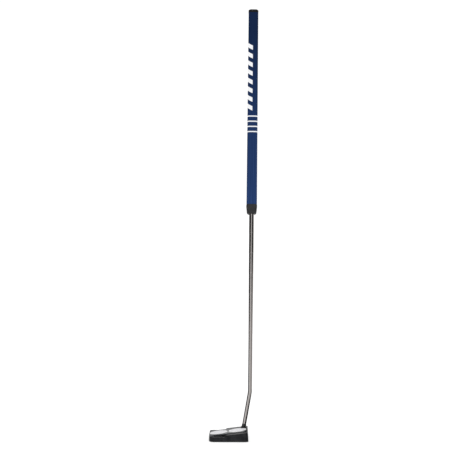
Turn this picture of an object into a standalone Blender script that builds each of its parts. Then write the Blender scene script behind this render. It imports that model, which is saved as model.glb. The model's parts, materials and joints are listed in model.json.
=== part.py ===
"""Right-handed mallet putter of arm-lock length, soled at address.

Frame: +X is the target direction, -Y the toe, +Y the heel and +Z up. The origin is the
centre of the sole plate's flat, which is the lowest face. Lengths are metres.
"""

from math import cos, pi, radians, sin, tan

import bmesh
import bpy
from mathutils import Matrix, Vector

MM = 0.001
GAP = 0.3 * MM  # clearance between neighbouring pieces
BEYOND = 10 * MM  # how far a cutter runs past the face it opens

# Head
HEAD_DEPTH = 94.5 * MM  # leading edge to rear
HEAD_WIDTH = 97.0 * MM  # toe to heel
LEAD_X = 47.75 * MM
REAR_X = LEAD_X - HEAD_DEPTH
LOFT = radians(5)
SOLE_Z = 0.4 * MM  # the body's underside, just above the sole plate's flat
SOLE_ROUND = 1.5 * MM
SHOULDER_DROP = 1.2 * MM  # heel and toe shoulders below the deck's plane
SHOULDER_REAR_X = -4.0 * MM
FLANGE_FRONT_X = -10.0 * MM
FLANGE_Z = 12.4 * MM  # top of the low rear flange
FLANGE_INNER_Y = 41.8 * MM
POCKET_FRONT_X = -9.0 * MM
POCKET_FLOOR_Z = 5.5 * MM
CORE_HALF_WIDTH = 28.0 * MM  # the middle of the body, under the deck
CORE_REAR_X = -45.0 * MM
CORE_TAPER_X = -36.0 * MM  # behind here the core narrows under the deck's round corners
CORE_TAPER = 0.6
CAVITY_LOW = (-26.0 * MM, -13.0 * MM, 4.5 * MM)  # lightening hollow under the deck
CAVITY_HIGH = (34.0 * MM, 13.0 * MM, 40.0 * MM)

# Deck and its discs, in the deck's own sloping plane
DECK_SLOPE = radians(6.8)
DECK_Z = 18.6 * MM  # the deck's top above the origin
DECK_THICKNESS = 3.0 * MM
DECK_HALF_WIDTH = 30.0 * MM
DECK_FRONT_X = 43.4 * MM
DECK_REAR_X = -46.7 * MM
DECK_GROOVE = 1.2 * MM  # open line between the deck and the shoulders
DISC_RADIUS = 42.67 / 2 * MM  # a golf ball's diameter
DISC_THICKNESS = 2.2 * MM
DISC_XS = {"front_disc": 21.1 * MM, "rear_disc": -23.7 * MM}

# Strike face, in the face's own plane
INSERT_HALF_LENGTH = 34.0 * MM
INSERT_LOW = 4.5 * MM
INSERT_HIGH = 16.5 * MM
INSERT_THICKNESS = 2.6 * MM
BACKING_THICKNESS = 0.5 * MM

# Sole
SOLE_PLATE_THICKNESS = 1.8 * MM
SOLE_PLATE_FRONT_X = 16.0 * MM
SOLE_PLATE_REAR_X = -38.0 * MM
SOLE_PLATE_HALF_WIDTH = 25.0 * MM
SCREW_INSET = 6.0 * MM
SCREW_HEAD_RADIUS = 2.8 * MM
SCREW_RADIUS = 1.25 * MM
SCREW_LENGTH = 7.0 * MM
WEIGHT_X = 27.0 * MM
WEIGHT_Y = 39.0 * MM
WEIGHT_HEAD_RADIUS = 7.0 * MM
WEIGHT_HEAD_THICKNESS = 1.9 * MM
WEIGHT_SHANK_RADIUS = 4.9 * MM
WEIGHT_TOP_Z = 10.0 * MM
WEIGHT_RING_RADIUS = 0.6 * MM
WEIGHT_RING_CENTRE = 5.95 * MM

# Shaft line
LIE = radians(70)
FORWARD_LEAN = radians(0.5)
FOOT_X = 50.5 * MM  # where the upper shaft's axis meets the ground
FOOT_Y = 16.8 * MM
CLUB_LENGTH = 1067.0 * MM  # 42 inches along the shaft
BEND_AT = 112.0 * MM
BEND_ANGLE = radians(9.3)
BEND_RADIUS = 25.0 * MM
BEND_STEPS = 5
PAD_AT = -90.05 * MM  # head's hosel pad below the bend, along the shank
PAD_RADIUS = 6.4 * MM

# Hosel
POST_PEG_RADIUS = 3.8 * MM
POST_SHANK_RADIUS = 4.4 * MM
POST_DEPTH = 13.0 * MM
POST_HEIGHT = 34.0 * MM
BOSS_HEIGHT = 2.4 * MM  # squares the sloping pad to the shank
BOSS_RADIUS = 6.1 * MM
FERRULE_FOOT_AT = BOSS_HEIGHT + GAP
FERRULE_HEIGHT = 6.6 * MM
FERRULE_RADIUS = 5.3 * MM

# Stepped steel tube
TIP_RADIUS = 4.7 * MM
STEP_RISE = 0.18 * MM  # radius gained at each step
FIRST_STEP_AT = 253.0 * MM
STEP_PITCH = 50.0 * MM
STEP_COUNT = 14
STEP_LENGTH = 1.0 * MM
LAST_STEP_AT = FIRST_STEP_AT + (STEP_COUNT - 1) * STEP_PITCH
WALL = 0.5 * MM
SHAFT_END_AT = 1058.4 * MM
SHAFT_SIDES = 20

# Grip, measured along the shaft from the ground
COLLAR_FOOT_AT = 551.4 * MM
COLLAR_TOP_AT = 573.4 * MM
SLEEVE_END_AT = 1059.1 * MM
CAP_FOOT_AT = 1059.4 * MM
GRIP_FRONT = 12.0 * MM  # shaft's axis to the flat thumb side
GRIP_BACK = 15.0 * MM
GRIP_WIDTHS = (  # place up the shaft, and width across the thumb side
    (COLLAR_TOP_AT + GAP, 25.6 * MM),
    (640 * MM, 25.2 * MM),
    (760 * MM, 24.4 * MM),
    (900 * MM, 23.9 * MM),
    (SLEEVE_END_AT, 23.9 * MM),
)
SKIN = 1.6 * MM
TAPE_THICKNESS = 0.5 * MM
TAPE_FOOT_AT = 580.0 * MM
TAPE_END_AT = 1055.0 * MM
BORE_RADIUS = 8.4 * MM  # through the cap and the top of the core

# Butt counterweight
INSERT_FLANGE_RADIUS = 7.9 * MM
INSERT_FLANGE_THICKNESS = 1.5 * MM
INSERT_TUBE_RADIUS = 6.35 * MM
INSERT_TUBE_BORE = 5.0 * MM
INSERT_TUBE_LENGTH = 46.0 * MM
SLUG_HEAD_RADIUS = 7.9 * MM
SLUG_HEAD_THICKNESS = 4.8 * MM
SLUG_RADIUS = 4.7 * MM
SLUG_LENGTH = 55.0 * MM
SLUG_RING_RADIUS = 0.5 * MM
SLUG_RING_CENTRE = 6.4 * MM
HEX_RADIUS = 2.3 * MM  # drive recess, corner to centre
HEX_DEPTH = 3.0 * MM


def clear_scene():
    for old in list(bpy.data.objects):
        bpy.data.objects.remove(old)


def new_collection(name):
    collection = bpy.data.collections.new(name)
    bpy.context.scene.collection.children.link(collection)
    return collection


def frame(name, origin, x_axis, z_axis, parent=None):
    """An empty at origin, with its X and Z axes as given in its parent's axes."""
    x_axis = Vector(x_axis).normalized()
    z_axis = Vector(z_axis).normalized()
    turn = Matrix((x_axis, z_axis.cross(x_axis), z_axis)).transposed()
    empty = bpy.data.objects.new(name, None)
    empty.empty_display_size = 10 * MM
    PARTS.objects.link(empty)
    empty.parent = parent
    empty.matrix_local = Matrix.LocRotScale(Vector(origin), turn, None)
    return empty


def place(obj, parent, cutter):
    """Puts obj among the parts, or among the cutters, in its parent's frame."""
    (CUTTERS if cutter else PARTS).objects.link(obj)
    obj.parent = parent
    if cutter:
        obj.hide_render = True
        obj.display_type = "WIRE"
    return obj


def from_bmesh(name, bm, parent=None, cutter=False):
    mesh = bpy.data.meshes.new(name)
    bm.to_mesh(mesh)
    bm.free()
    return place(bpy.data.objects.new(name, mesh), parent, cutter)


def curve_solid(name, curve, parent, cutter):
    """A mesh object with the curve's shape, its caps welded."""
    source = bpy.data.objects.new(name + "_curve", curve)
    PARTS.objects.link(source)
    graph = bpy.context.evaluated_depsgraph_get()
    mesh = bpy.data.meshes.new_from_object(source.evaluated_get(graph))
    mesh.name = name
    bpy.data.objects.remove(source)
    bm = bmesh.new()
    bm.from_mesh(mesh)
    bmesh.ops.remove_doubles(bm, verts=bm.verts, dist=0.001 * MM)
    bmesh.ops.recalc_face_normals(bm, faces=bm.faces)
    bm.to_mesh(mesh)
    bm.free()
    return place(bpy.data.objects.new(name, mesh), parent, cutter)


def rounded(corners, steps=6):
    """An outline through corners (x, y, radius), each corner an arc of its radius."""
    points = []
    for i, (x, y, radius) in enumerate(corners):
        corner = Vector((x, y))
        back = (Vector(corners[i - 1][:2]) - corner).normalized()
        on = (Vector(corners[(i + 1) % len(corners)][:2]) - corner).normalized()
        half = back.angle(on) / 2
        centre = corner + (back + on).normalized() * (radius / sin(half))
        arm = corner + back * (radius / tan(half)) - centre
        sweep = pi - 2 * half
        for k in range(steps + 1):
            points.append(centre + Matrix.Rotation(sweep * k / steps, 2) @ arm)
    return points


def plate(name, outline, low, high, parent=None, cutter=False):
    """A flat outline in the parent's XY plane, standing from low to high."""
    curve = bpy.data.curves.new(name, "CURVE")
    curve.dimensions = "2D"
    curve.fill_mode = "BOTH"
    curve.extrude = (high - low) / 2
    spline = curve.splines.new("POLY")
    spline.points.add(len(outline) - 1)
    for point, (x, y) in zip(spline.points, outline):
        point.co = (x, y, 0, 1)
    spline.use_cyclic_u = True
    obj = curve_solid(name, curve, parent, cutter)
    obj.data.transform(Matrix.Translation((0, 0, (low + high) / 2)))
    return obj


def block(name, low, high, parent=None, cutter=False):
    low, high = Vector(low), Vector(high)
    bm = bmesh.new()
    size = Matrix.Diagonal((*(high - low), 1))
    bmesh.ops.create_cube(bm, size=1, matrix=Matrix.Translation((low + high) / 2) @ size)
    return from_bmesh(name, bm, parent, cutter)


def cylinder(name, radius, low, high, at=(0, 0), parent=None, cutter=False, sides=48):
    bm = bmesh.new()
    bmesh.ops.create_cone(
        bm,
        cap_ends=True,
        segments=sides,
        radius1=radius,
        radius2=radius,
        depth=high - low,
        matrix=Matrix.Translation((*at, (low + high) / 2)),
    )
    return from_bmesh(name, bm, parent, cutter)


def turned(name, profile, parent=None, cutter=False, ring=False, at=(0, 0), sides=32):
    """A profile of (radius, height), outer side first and top to bottom, turned about Z."""
    bm = bmesh.new()
    verts = [bm.verts.new((radius, 0, height)) for radius, height in profile]
    for one, two in zip(verts, verts[1:] + verts[:1] if ring else verts[1:]):
        bm.edges.new((one, two))
    obj = from_bmesh(name, bm, parent, cutter)
    obj.location = (*at, 0)
    screw = obj.modifiers.new("turn", "SCREW")
    screw.steps = sides
    screw.render_steps = sides
    screw.use_merge_vertices = True
    screw.merge_threshold = 0.01 * MM
    return obj


def tube(name, path, parent=None, cutter=False):
    """A round bar along a path of (point, radius)."""
    curve = bpy.data.curves.new(name, "CURVE")
    curve.dimensions = "3D"
    curve.bevel_depth = 1.0
    curve.bevel_resolution = SHAFT_SIDES // 2 - 2
    curve.use_fill_caps = True
    spline = curve.splines.new("POLY")
    spline.points.add(len(path) - 1)
    for point, (at, radius) in zip(spline.points, path):
        point.co = (*at, 1)
        point.radius = radius
    return curve_solid(name, curve, parent, cutter)


def loft(name, sections, parent=None, cutter=False):
    """A solid through (height, outline) sections of equal point counts."""
    bm = bmesh.new()
    rings = [[bm.verts.new((x, y, height)) for x, y in outline] for height, outline in sections]
    for below, above in zip(rings, rings[1:]):
        for i in range(len(below)):
            j = (i + 1) % len(below)
            bm.faces.new((below[i], below[j], above[j], above[i]))
    bm.faces.new(reversed(rings[0]))
    bm.faces.new(rings[-1])
    return from_bmesh(name, bm, parent, cutter)


def cut(target, *cutters):
    for cutter in cutters:
        boolean = target.modifiers.new(cutter.name, "BOOLEAN")
        boolean.operation = "DIFFERENCE"
        boolean.solver = "EXACT"
        boolean.object = cutter


def torus_profile(centre, height, radius, steps=8):
    """The section of a ring of round wire, for turned()."""
    angles = (2 * pi * k / steps for k in range(steps))
    return [(centre + radius * sin(a), height + radius * cos(a)) for a in angles]


def finish(obj, colour, roughness, metallic=0.0):
    """Gives obj its own Principled material and smooth shading with sharp edges kept."""
    material = bpy.data.materials.new(obj.name)
    material.use_nodes = True
    shader = material.node_tree.nodes["Principled BSDF"]
    shader.inputs["Base Color"].default_value = (*colour, 1)
    shader.inputs["Roughness"].default_value = roughness
    shader.inputs["Metallic"].default_value = metallic
    obj.data.materials.append(material)
    obj.data.shade_smooth()
    obj.data.set_sharp_from_angle(angle=radians(35))
    return obj


def head_outline():
    front = LEAD_X + 1.0 * MM  # the face plane trims it back
    half = HEAD_WIDTH / 2
    return rounded(
        (
            (front, half, 9 * MM),
            (REAR_X, half, 13 * MM),
            (REAR_X, -half, 13 * MM),
            (front, -half, 9 * MM),
        )
    )


def deck_outline(grow):
    """The deck's outline, grown on all sides. Its rear edge is slightly bowed."""
    half = DECK_HALF_WIDTH + grow
    front = DECK_FRONT_X + grow
    rear = DECK_REAR_X - grow
    return rounded(
        (
            (front, half, 7 * MM),
            (rear + 2 * MM, half, 13 * MM),
            (rear, 0, 60 * MM),
            (rear + 2 * MM, -half, 13 * MM),
            (front, -half, 7 * MM),
        )
    )


def side_profile():
    """Everything above the shoulders and the rear flange, in X and Z."""
    far = LEAD_X + BEYOND

    def shoulder(x):
        return DECK_Z - SHOULDER_DROP + x * tan(DECK_SLOPE)

    return [
        (far, shoulder(far)),
        (far, 60 * MM),
        (-far, 60 * MM),
        (-far, FLANGE_Z),
        (FLANGE_FRONT_X, FLANGE_Z),
        (SHOULDER_REAR_X, shoulder(SHOULDER_REAR_X)),
    ]


def insert_outline(shrink):
    high, low = INSERT_HIGH - shrink, INSERT_LOW + shrink
    half = INSERT_HALF_LENGTH - shrink
    radius = (high - low) / 2 - 0.5 * MM
    return rounded(
        ((half, low, radius), (half, high, radius), (-half, high, radius), (-half, low, radius))
    )


def sole_plate_outline(grow):
    front, rear = SOLE_PLATE_FRONT_X + grow, SOLE_PLATE_REAR_X - grow
    half = SOLE_PLATE_HALF_WIDTH + grow
    radius = 7 * MM
    return rounded(
        ((front, half, radius), (rear, half, radius), (rear, -half, radius), (front, -half, radius))
    )


def pocket_outline(side):
    """A rear pocket between the body's core and the flange; side is 1 at the heel."""
    inner, outer = CORE_HALF_WIDTH, FLANGE_INNER_Y
    rear, front = REAR_X - BEYOND, POCKET_FRONT_X
    taper = CORE_TAPER * (CORE_TAPER_X - rear)
    corners = [
        (rear, inner - taper, 1 * MM),
        (CORE_TAPER_X, inner, 5 * MM),
        (front, inner, 4 * MM),
        (front, outer, 4 * MM),
        (rear, outer, 1 * MM),
    ]
    if side < 0:
        corners = [(x, -y, radius) for x, y, radius in reversed(corners)]
    return rounded(corners)


def screw_places():
    xs = (SOLE_PLATE_FRONT_X - SCREW_INSET, SOLE_PLATE_REAR_X + SCREW_INSET)
    y = SOLE_PLATE_HALF_WIDTH - SCREW_INSET
    return [(x, side * y) for x in xs for side in (-1, 1)]


def screw_profile(grow):
    """A countersunk screw or, grown, its hole; the drive recess is left to the surface."""
    cone = SCREW_HEAD_RADIUS - SCREW_RADIUS
    foot = -BEYOND if grow else 0.1 * MM
    return [
        (0, SCREW_LENGTH + grow),
        (SCREW_RADIUS + grow, SCREW_LENGTH + grow),
        (SCREW_RADIUS + grow, cone + grow),
        (SCREW_HEAD_RADIUS + grow, 0.1 * MM),
        (SCREW_HEAD_RADIUS + grow, foot) if grow else (SCREW_HEAD_RADIUS - 0.2 * MM, 0),
        (0, foot) if grow else (0, 0),
    ]


def screw_cutters(name):
    holes = []
    for i, at in enumerate(screw_places()):
        hole = turned(f"{name}_{i}", screw_profile(GAP), cutter=True, at=at, sides=24)
        holes.append(hole)
    return holes


def hex_cutter(name, low, high, at=(0, 0), parent=None):
    return cylinder(name, HEX_RADIUS, low, high, at, parent, cutter=True, sides=6)


def make_head_body():
    body = plate("head_body", head_outline(), SOLE_Z, 34 * MM)
    bevel = body.modifiers.new("sole_round", "BEVEL")
    bevel.width = SOLE_ROUND
    bevel.segments = 3
    bevel.limit_method = "ANGLE"
    bevel.angle_limit = radians(40)
    shoulders = plate("shoulder_cutter", side_profile(), -60 * MM, 60 * MM, SIDE_FRAME, True)
    seat = plate(
        "deck_seat_cutter",
        deck_outline(DECK_GROOVE),
        -DECK_THICKNESS - GAP,
        20 * MM,
        DECK_FRAME,
        True,
    )
    pad = cylinder("hosel_pad_keeper", PAD_RADIUS, -10 * MM, 20 * MM, PAD_XY, None, True)
    pad.location.z = PAD_Z
    cut(seat, pad)
    cut(body, shoulders, seat)
    boss = cylinder("hosel_boss", BOSS_RADIUS, -6 * MM, 8 * MM, PAD_XY, None, True)
    boss.location.z = PAD_Z
    cut(boss, cylinder("boss_top", 20 * MM, BOSS_HEIGHT, 30 * MM, (0, 0), PAD_FRAME, True))
    join = body.modifiers.new("hosel_boss", "BOOLEAN")
    join.operation = "UNION"
    join.solver = "EXACT"
    join.object = boss
    pocket_depth = INSERT_THICKNESS + BACKING_THICKNESS + 2 * GAP
    cut(
        body,
        plate("heel_pocket", pocket_outline(1), POCKET_FLOOR_Z, 40 * MM, None, True),
        plate("toe_pocket", pocket_outline(-1), POCKET_FLOOR_Z, 40 * MM, None, True),
        block(
            "core_end_cutter",
            (REAR_X - BEYOND, -CORE_HALF_WIDTH - 1 * MM, POCKET_FLOOR_Z + 0.05 * MM),
            (CORE_REAR_X, CORE_HALF_WIDTH + 1 * MM, 40 * MM),
            cutter=True,
        ),
        block("cavity_cutter", CAVITY_LOW, CAVITY_HIGH, cutter=True),
        block("face_cutter", (-70 * MM, -5 * MM, 0), (70 * MM, 45 * MM, 20 * MM), FACE_FRAME, True),
        plate("face_pocket", insert_outline(-GAP), -pocket_depth, BEYOND, FACE_FRAME, True),
        plate(
            "sole_pocket",
            sole_plate_outline(GAP),
            -BEYOND,
            SOLE_PLATE_THICKNESS + GAP,
            None,
            True,
        ),
        turned(
            "post_bore",
            [
                (0, BEYOND),
                (POST_SHANK_RADIUS + GAP, BEYOND),
                (POST_SHANK_RADIUS + GAP, -POST_DEPTH - GAP),
                (0, -POST_DEPTH - GAP),
            ],
            PAD_FRAME,
            True,
        ),
        *screw_cutters("body_screw_hole"),
    )
    for name, side in (("toe", -1), ("heel", 1)):
        cut(
            body,
            turned(
                name + "_weight_port",
                [
                    (0, WEIGHT_TOP_Z + GAP),
                    (WEIGHT_SHANK_RADIUS + GAP, WEIGHT_TOP_Z + GAP),
                    (WEIGHT_SHANK_RADIUS + GAP, weight_shelf() + 2 * GAP),
                    (WEIGHT_HEAD_RADIUS + GAP, weight_shelf() + 2 * GAP),
                    (WEIGHT_HEAD_RADIUS + GAP, -BEYOND),
                    (0, -BEYOND),
                ],
                None,
                True,
                at=(WEIGHT_X, side * WEIGHT_Y),
            ),
        )
    return finish(body, (0.035, 0.036, 0.038), 0.42, 0.7)


def weight_shelf():
    """Top of the sealing ring's groove, above which the weight's shank is alone."""
    return SOLE_Z + WEIGHT_HEAD_THICKNESS + 2 * WEIGHT_RING_RADIUS


def make_deck():
    deck = plate("deck_plate", deck_outline(0), -DECK_THICKNESS, 0, DECK_FRAME)
    for name, x in DISC_XS.items():
        recess = cylinder(
            name + "_recess",
            DISC_RADIUS + GAP,
            -DISC_THICKNESS,
            BEYOND,
            (x, 0),
            DECK_FRAME,
            True,
            sides=64,
        )
        cut(deck, recess)
        disc = turned(
            name,
            [
                (0, 0.2 * MM),
                (DISC_RADIUS - 0.3 * MM, 0.2 * MM),
                (DISC_RADIUS, -0.1 * MM),
                (DISC_RADIUS, -DISC_THICKNESS + GAP),
                (0, -DISC_THICKNESS + GAP),
            ],
            DECK_FRAME,
            at=(x, 0),
            sides=64,
        )
        finish(disc, (0.86, 0.86, 0.85), 0.32)
    notch = cylinder("hosel_notch", PAD_RADIUS + GAP, -15 * MM, 20 * MM, PAD_XY, None, True)
    notch.location.z = PAD_Z
    cut(deck, notch)
    return finish(deck, (0.16, 0.165, 0.17), 0.35, 0.85)


def make_face():
    insert = plate("face_insert", insert_outline(0), -INSERT_THICKNESS, 0, FACE_FRAME)
    finish(insert, (0.62, 0.63, 0.62), 0.5)
    top = -INSERT_THICKNESS - GAP
    backing = plate(
        "insert_backing", insert_outline(1 * MM), top - BACKING_THICKNESS, top, FACE_FRAME
    )
    finish(backing, (0.05, 0.05, 0.05), 0.9)


def make_sole():
    sole = plate("sole_plate", sole_plate_outline(0), 0, SOLE_PLATE_THICKNESS)
    cut(sole, *screw_cutters("plate_screw_hole"))
    finish(sole, (0.45, 0.46, 0.47), 0.3, 1.0)
    for i, at in enumerate(screw_places(), 1):
        screw = turned(f"sole_screw_{i}", screw_profile(0), at=at, sides=16)
        finish(screw, (0.3, 0.3, 0.31), 0.35, 1.0)


def make_weights():
    for name, side in (("toe_weight", -1), ("heel_weight", 1)):
        at = (WEIGHT_X, side * WEIGHT_Y)
        head_top = SOLE_Z + WEIGHT_HEAD_THICKNESS
        weight = turned(
            name,
            [
                (0, WEIGHT_TOP_Z),
                (WEIGHT_SHANK_RADIUS, WEIGHT_TOP_Z),
                (WEIGHT_SHANK_RADIUS, head_top),
                (WEIGHT_HEAD_RADIUS, head_top),
                (WEIGHT_HEAD_RADIUS, SOLE_Z + 0.4 * MM),
                (WEIGHT_HEAD_RADIUS - 0.4 * MM, SOLE_Z),
                (0, SOLE_Z),
            ],
            at=at,
        )
        cut(weight, hex_cutter(name + "_drive", -BEYOND, SOLE_Z + HEX_DEPTH, at))
        finish(weight, (0.38, 0.38, 0.39), 0.28, 1.0)
        ring_z = head_top + GAP + WEIGHT_RING_RADIUS
        profile = torus_profile(WEIGHT_RING_CENTRE, ring_z, WEIGHT_RING_RADIUS)
        ring = turned(name + "_ring", profile, ring=True, at=at, sides=24)
        finish(ring, (0.02, 0.02, 0.02), 0.7)


def make_hosel():
    post = turned(
        "hosel_post",
        [
            (0, POST_HEIGHT),
            (POST_PEG_RADIUS - 0.6 * MM, POST_HEIGHT),
            (POST_PEG_RADIUS, POST_HEIGHT - 0.8 * MM),
            (POST_PEG_RADIUS, BOSS_HEIGHT),
            (POST_SHANK_RADIUS, BOSS_HEIGHT - 0.5 * MM),
            (POST_SHANK_RADIUS, -POST_DEPTH),
            (0, -POST_DEPTH),
        ],
        PAD_FRAME,
    )
    finish(post, (0.4, 0.4, 0.41), 0.3, 1.0)
    bore = POST_PEG_RADIUS + GAP
    ferrule = turned(
        "ferrule",
        [
            (FERRULE_RADIUS - 0.4 * MM, FERRULE_FOOT_AT + FERRULE_HEIGHT),
            (FERRULE_RADIUS, FERRULE_FOOT_AT + FERRULE_HEIGHT - 0.6 * MM),
            (FERRULE_RADIUS, FERRULE_FOOT_AT),
            (bore, FERRULE_FOOT_AT),
            (bore, FERRULE_FOOT_AT + FERRULE_HEIGHT),
        ],
        PAD_FRAME,
        ring=True,
    )
    finish(ferrule, (0.015, 0.015, 0.016), 0.25)


def shaft_radius(at):
    """The tube's outer radius at a distance from the ground, above its first step."""
    steps = int((at - FIRST_STEP_AT) / STEP_PITCH) + 1
    return TIP_RADIUS + STEP_RISE * min(steps, STEP_COUNT)


def bent_foot(past):
    """The shaft's centre line from the tip, run past it, to the end of the bend."""
    tip = PAD_AT + FERRULE_FOOT_AT + FERRULE_HEIGHT + GAP - past
    reach = BEND_RADIUS * tan(BEND_ANGLE / 2)
    up = Vector((sin(BEND_ANGLE), 0, cos(BEND_ANGLE)))
    path = [Vector((0, 0, BEND_AT)) + up * tip]
    centre = Vector((-BEND_RADIUS, 0, BEND_AT + reach))
    for k in range(BEND_STEPS + 1):
        angle = -BEND_ANGLE * (1 - k / BEND_STEPS)
        path.append(centre + BEND_RADIUS * Vector((cos(angle), 0, sin(angle))))
    return path


def make_shaft():
    outside = [(at, TIP_RADIUS) for at in bent_foot(0)]
    for k in range(STEP_COUNT):
        at = FIRST_STEP_AT + k * STEP_PITCH
        outside.append((Vector((0, 0, at)), TIP_RADIUS + k * STEP_RISE))
        outside.append((Vector((0, 0, at + STEP_LENGTH)), TIP_RADIUS + (k + 1) * STEP_RISE))
    outside.append((Vector((0, 0, SHAFT_END_AT)), outside[-1][1]))

    inside = [(at, TIP_RADIUS - WALL) for at in bent_foot(BEYOND)]
    inside.append((Vector((0, 0, FIRST_STEP_AT)), TIP_RADIUS - WALL))
    butt = TIP_RADIUS + STEP_COUNT * STEP_RISE - WALL
    inside.append((Vector((0, 0, LAST_STEP_AT)), butt - STEP_RISE))
    inside.append((Vector((0, 0, LAST_STEP_AT + STEP_LENGTH)), butt))
    inside.append((Vector((0, 0, SHAFT_END_AT + BEYOND)), butt))

    shaft = tube("shaft", outside, SHAFT_FRAME)
    cut(shaft, tube("shaft_bore", inside, SHAFT_FRAME, True))
    finish(shaft, (0.62, 0.62, 0.63), 0.14, 1.0)


def grip_outline(width, shrink=0.0):
    """The D section about the shaft's axis: flat thumb side at -Y, round back at +Y."""
    half = width / 2 - shrink
    front, back = -GRIP_FRONT + shrink, GRIP_BACK - shrink
    near, far = 5.5 * MM - shrink / 2, half - 0.4 * MM
    return rounded(
        ((half, back, far), (-half, back, far), (-half, front, near), (half, front, near)), 8
    )


def grip_sections(shrink=0.0, past=0.0, foot=0.0, end=0.0):
    """Sections up the grip, shrunk all round, run past both ends or cut short of them."""
    last = len(GRIP_WIDTHS) - 1
    sections = []
    for i, (at, width) in enumerate(GRIP_WIDTHS):
        offset = {0: foot - past, last: past - end}.get(i, 0.0)
        sections.append((at + offset, grip_outline(width, shrink)))
    return sections


def make_grip():
    sleeve = loft("grip_sleeve", grip_sections(), SHAFT_FRAME)
    cut(sleeve, loft("sleeve_bore", grip_sections(SKIN, BEYOND), SHAFT_FRAME, True))
    finish(sleeve, (0.028, 0.052, 0.125), 0.62)

    wide = shaft_radius(LAST_STEP_AT) + GAP
    narrow = shaft_radius(TAPE_FOOT_AT) + 2 * GAP
    tape = turned(
        "grip_tape",
        [
            (wide + TAPE_THICKNESS, TAPE_END_AT),
            (wide + TAPE_THICKNESS, LAST_STEP_AT),
            (narrow + TAPE_THICKNESS, TAPE_FOOT_AT),
            (narrow, TAPE_FOOT_AT),
            (wide, LAST_STEP_AT),
            (wide, TAPE_END_AT),
        ],
        SHAFT_FRAME,
        ring=True,
        sides=24,
    )
    finish(tape, (0.75, 0.68, 0.5), 0.85)

    core = loft("grip_core", grip_sections(SKIN + GAP, foot=GAP, end=GAP), SHAFT_FRAME)
    outside = TAPE_THICKNESS + GAP
    bore = turned(
        "core_bore",
        [
            (0, SHAFT_END_AT + BEYOND),
            (BORE_RADIUS, SHAFT_END_AT + BEYOND),
            (BORE_RADIUS, LAST_STEP_AT),
            (narrow + outside, TAPE_FOOT_AT),
            (narrow + outside, COLLAR_TOP_AT - BEYOND),
            (0, COLLAR_TOP_AT - BEYOND),
        ],
        SHAFT_FRAME,
        True,
        sides=24,
    )
    cut(core, bore)
    finish(core, (0.1, 0.1, 0.1), 0.95)


def make_collar():
    heights = (0.0, 1.2, 5.0, 12.2, 17.7, 20.8, 22.0)
    widths = (21.6, 22.8, 23.9, 25.4, 26.4, 26.2, 25.6)
    sleeve_width = GRIP_WIDTHS[0][1]
    sections = []
    for height, width in zip(heights, widths):
        shrink = (sleeve_width - width * MM) / 2
        sections.append((COLLAR_FOOT_AT + height * MM, grip_outline(sleeve_width, shrink)))
    collar = loft("grip_collar", sections, SHAFT_FRAME)
    bore = cylinder(
        "collar_bore",
        shaft_radius(COLLAR_TOP_AT) + GAP,
        COLLAR_FOOT_AT - BEYOND,
        COLLAR_TOP_AT + BEYOND,
        parent=SHAFT_FRAME,
        cutter=True,
        sides=32,
    )
    cut(collar, bore)
    finish(collar, (0.03, 0.031, 0.033), 0.55)


def make_cap():
    heights = (0.0, 0.8, 4.6, 6.4, 7.3, 7.6)
    shrinks = (0.0, -0.35, -0.35, 0.4, 1.5, 2.6)
    width = GRIP_WIDTHS[-1][1]
    sections = []
    for height, shrink in zip(heights, shrinks):
        sections.append((CAP_FOOT_AT + height * MM, grip_outline(width, shrink * MM)))
    cap = loft("butt_cap", sections, SHAFT_FRAME)
    bore = cylinder(
        "cap_bore",
        BORE_RADIUS,
        CAP_FOOT_AT - BEYOND,
        CLUB_LENGTH + BEYOND,
        parent=SHAFT_FRAME,
        cutter=True,
        sides=32,
    )
    cut(cap, bore)
    finish(cap, (0.012, 0.012, 0.013), 0.12)


def make_counterweight():
    flange_foot = SHAFT_END_AT + GAP
    flange_top = flange_foot + INSERT_FLANGE_THICKNESS
    insert = turned(
        "butt_insert",
        [
            (INSERT_FLANGE_RADIUS, flange_top),
            (INSERT_FLANGE_RADIUS, flange_foot),
            (INSERT_TUBE_RADIUS, flange_foot),
            (INSERT_TUBE_RADIUS, flange_foot - INSERT_TUBE_LENGTH),
            (INSERT_TUBE_BORE, flange_foot - INSERT_TUBE_LENGTH),
            (INSERT_TUBE_BORE, flange_top),
        ],
        SHAFT_FRAME,
        ring=True,
    )
    finish(insert, (0.06, 0.06, 0.06), 0.5)

    ring_at = flange_top + GAP + SLUG_RING_RADIUS
    head_foot = ring_at + SLUG_RING_RADIUS + GAP
    head_top = head_foot + SLUG_HEAD_THICKNESS
    slug = turned(
        "counterweight",
        [
            (0, head_top),
            (SLUG_HEAD_RADIUS - 0.5 * MM, head_top),
            (SLUG_HEAD_RADIUS, head_top - 0.5 * MM),
            (SLUG_HEAD_RADIUS, head_foot),
            (SLUG_RADIUS, head_foot),
            (SLUG_RADIUS, head_foot - SLUG_LENGTH),
            (0, head_foot - SLUG_LENGTH),
        ],
        SHAFT_FRAME,
    )
    cut(slug, hex_cutter("slug_drive", head_top - HEX_DEPTH, head_top + BEYOND, parent=SHAFT_FRAME))
    finish(slug, (0.36, 0.36, 0.37), 0.3, 1.0)
    profile = torus_profile(SLUG_RING_CENTRE, ring_at, SLUG_RING_RADIUS)
    ring = turned("counterweight_ring", profile, SHAFT_FRAME, ring=True, sides=24)
    finish(ring, (0.02, 0.02, 0.02), 0.7)


clear_scene()
PARTS = new_collection("mallet_putter")
CUTTERS = new_collection("cutters")

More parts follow.
